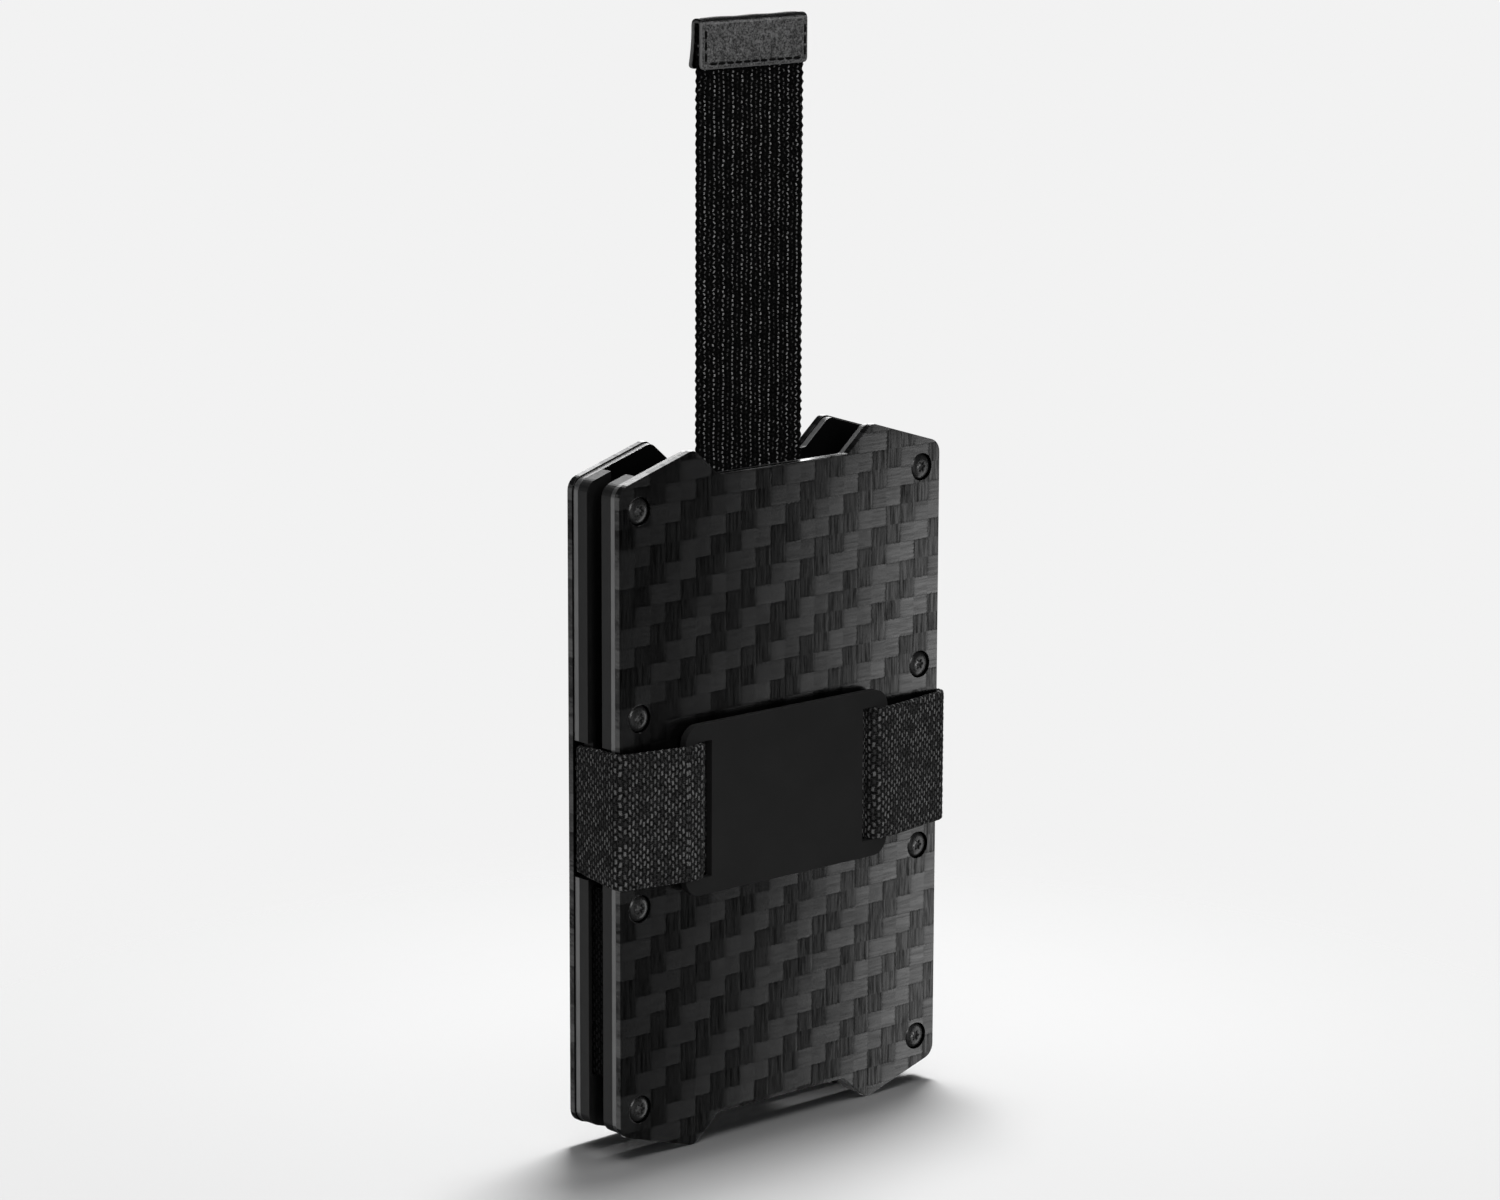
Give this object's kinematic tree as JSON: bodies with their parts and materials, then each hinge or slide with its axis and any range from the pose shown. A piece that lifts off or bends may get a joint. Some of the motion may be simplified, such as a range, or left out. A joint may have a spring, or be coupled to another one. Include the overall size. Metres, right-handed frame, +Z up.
{
  "type": "minimalist wallet",
  "caption": "Card wallet of two carbon fibre plates on metal liners and frames, with elastic sides, a ribbon with a leather tab that lifts the cards, and a band-held cash clip.",
  "frame": {"origin": "middle of the overall box at the level of the ear tips that the wallet stands on", "axes": "+Z up along the card direction, -Y out of the front face with the cash clip, +X to the right seen from the front"},
  "size_m": [0.0662, 0.0152, 0.168],
  "materials": {
    "carbon_fibre": "twill-woven carbon fibre plate, satin clear coat",
    "liner_metal": "grey anodised sheet, brushed edge",
    "frame_metal": "black anodised, matte",
    "screw_black": "black oxide, semi-gloss",
    "clip_black": "matte black powder coat",
    "band_elastic": "black woven elastic",
    "ribbon_webbing": "black woven webbing with coarse ribs",
    "leather": "dark grey fine-grained leather, satin",
    "thread": "black waxed thread"
  },
  "bodies": {
    "front": {"front_cover": "carbon_fibre", "front_liner": "liner_metal", "front_frame": "frame_metal", "front_screws": "screw_black", "left_web": "band_elastic", "right_web": "band_elastic", "band_front_left": "band_elastic", "band_front_right": "band_elastic", "band_left_side": "band_elastic", "band_right_side": "band_elastic", "ribbon_anchor": "ribbon_webbing", "ribbon_front": "ribbon_webbing"},
    "rear": {"rear_cover": "carbon_fibre", "rear_liner": "liner_metal", "rear_frame": "frame_metal", "rear_screws": "screw_black", "band_left_tail": "band_elastic", "band_right_tail": "band_elastic"},
    "clip": {"clip_plate": "clip_black", "band_clip_run": "band_elastic"},
    "fold": {"ribbon_fold": "ribbon_webbing"},
    "tab": {"ribbon_rear": "ribbon_webbing", "tab_leather": "leather", "tab_stitching": "thread"}
  },
  "joints": [
    {"name": "plate_spread", "type": "slide", "parent": "front", "child": "rear", "axis": [0, 1, 0], "range_m": [0, 0.005], "stiffness_N_per_m": 1200},
    {"name": "clip_lift", "type": "slide", "parent": "front", "child": "clip", "axis": [0, -1, 0], "range_m": [0, 0.005], "stiffness_N_per_m": 300},
    {"name": "fold_lift", "type": "slide", "parent": "front", "child": "fold", "axis": [0, 0, 1], "range_m": [-0.029, 0]},
    {"name": "tab_pull", "type": "slide", "parent": "fold", "child": "tab", "axis": [0, 0, 1], "range_m": [-0.029, 0], "deforming": ["ribbon_rear"]}
  ],
  "couplings": [
    {"joint": "tab_pull", "follows": "fold_lift", "ratio": 1}
  ]
}
